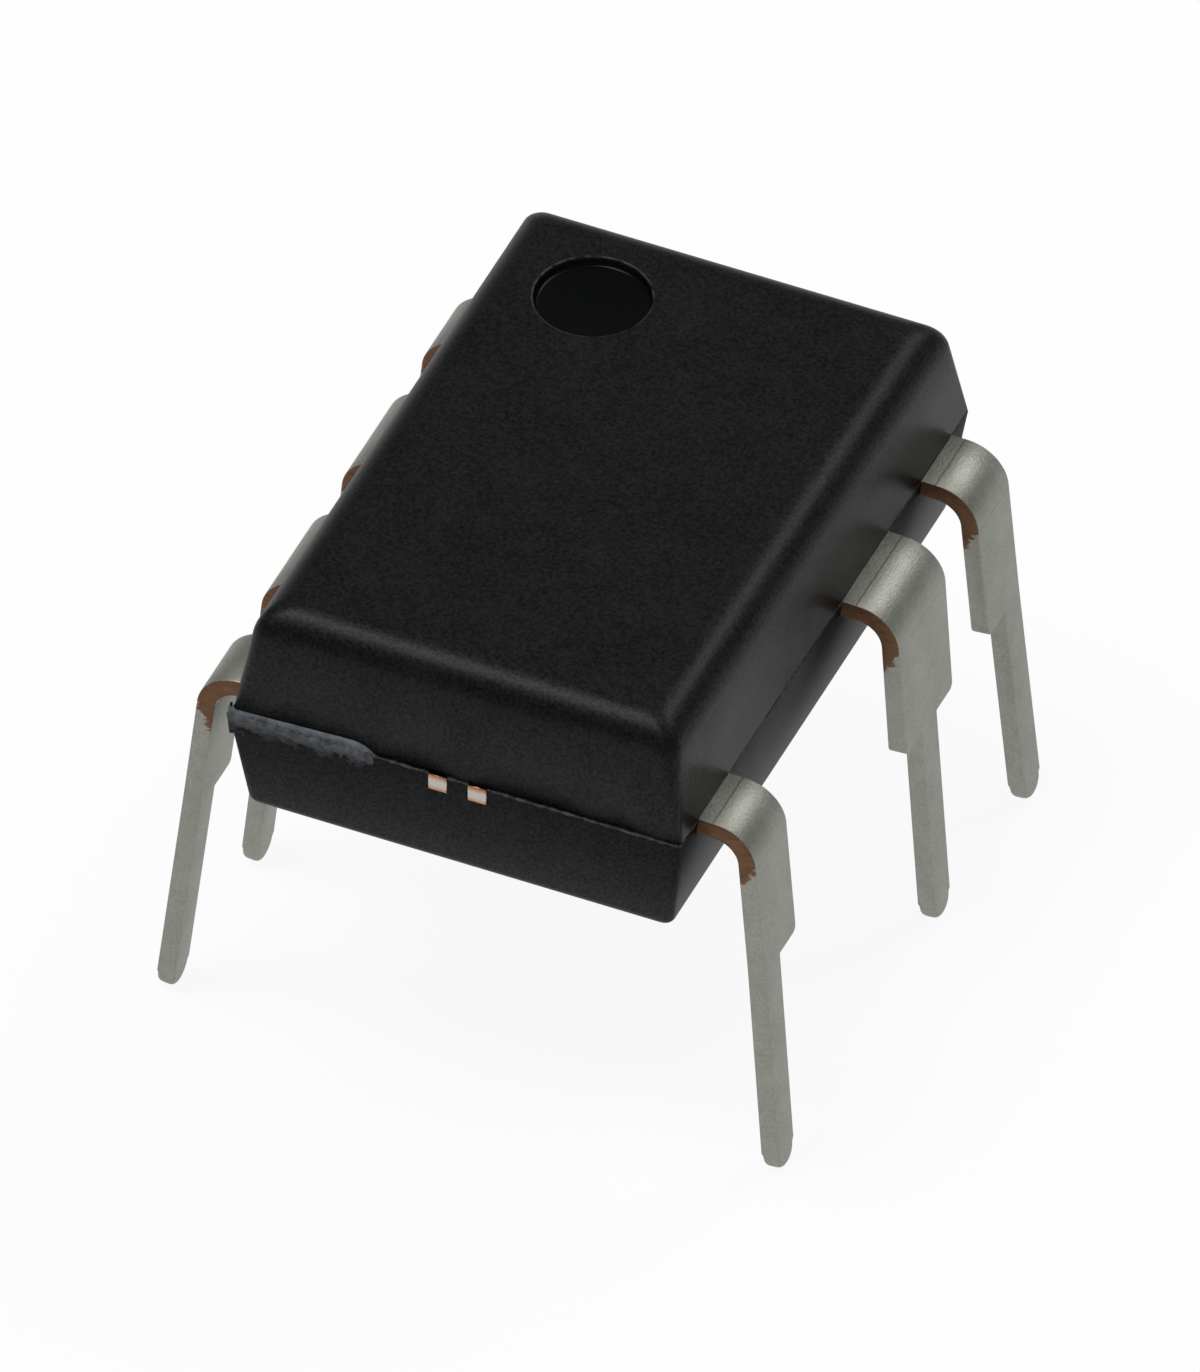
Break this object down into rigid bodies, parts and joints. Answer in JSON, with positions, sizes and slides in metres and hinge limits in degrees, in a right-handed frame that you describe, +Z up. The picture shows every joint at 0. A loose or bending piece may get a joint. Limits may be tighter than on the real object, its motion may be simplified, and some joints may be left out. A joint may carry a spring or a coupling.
{
  "type": "dual in-line integrated circuit",
  "caption": "Black moulded through-hole chip with a dimple at its first lead, two rows of formed tinned leads and one lead place left empty.",
  "frame": {"origin": "on the ground plane that the lead tips stand on, under the middle of the part's box", "axes": "+X across the two rows towards leads 5 to 8, +Y along the rows towards lead 1 and lead 8, +Z up out of the top face"},
  "size_m": [0.0088, 0.0094, 0.0073],
  "materials": {
    "epoxy_mould_compound": "fine spark-eroded mould texture, semi-matt",
    "tinned_copper": "matt tin plating over copper alloy, with bare copper at the sheared edges",
    "bare_copper": "rolled copper alloy, sheared where it meets the body's ends",
    "die_adhesive": "silver-filled epoxy",
    "silicon": "polished, sawn edges",
    "bond_wire": "drawn gold wire"
  },
  "bodies": {
    "root": {"mould_body": "epoxy_mould_compound", "lead_1": "tinned_copper", "lead_2": "tinned_copper", "lead_3": "tinned_copper", "lead_4": "tinned_copper", "lead_5": "tinned_copper", "lead_7": "tinned_copper", "lead_8": "tinned_copper", "die_paddle": "bare_copper", "die_attach": "die_adhesive", "die": "silicon", "bond_wire_1": "bond_wire", "bond_wire_2": "bond_wire", "bond_wire_3": "bond_wire", "bond_wire_4": "bond_wire", "bond_wire_5": "bond_wire", "bond_wire_7": "bond_wire", "bond_wire_8": "bond_wire"}
  },
  "joints": []
}
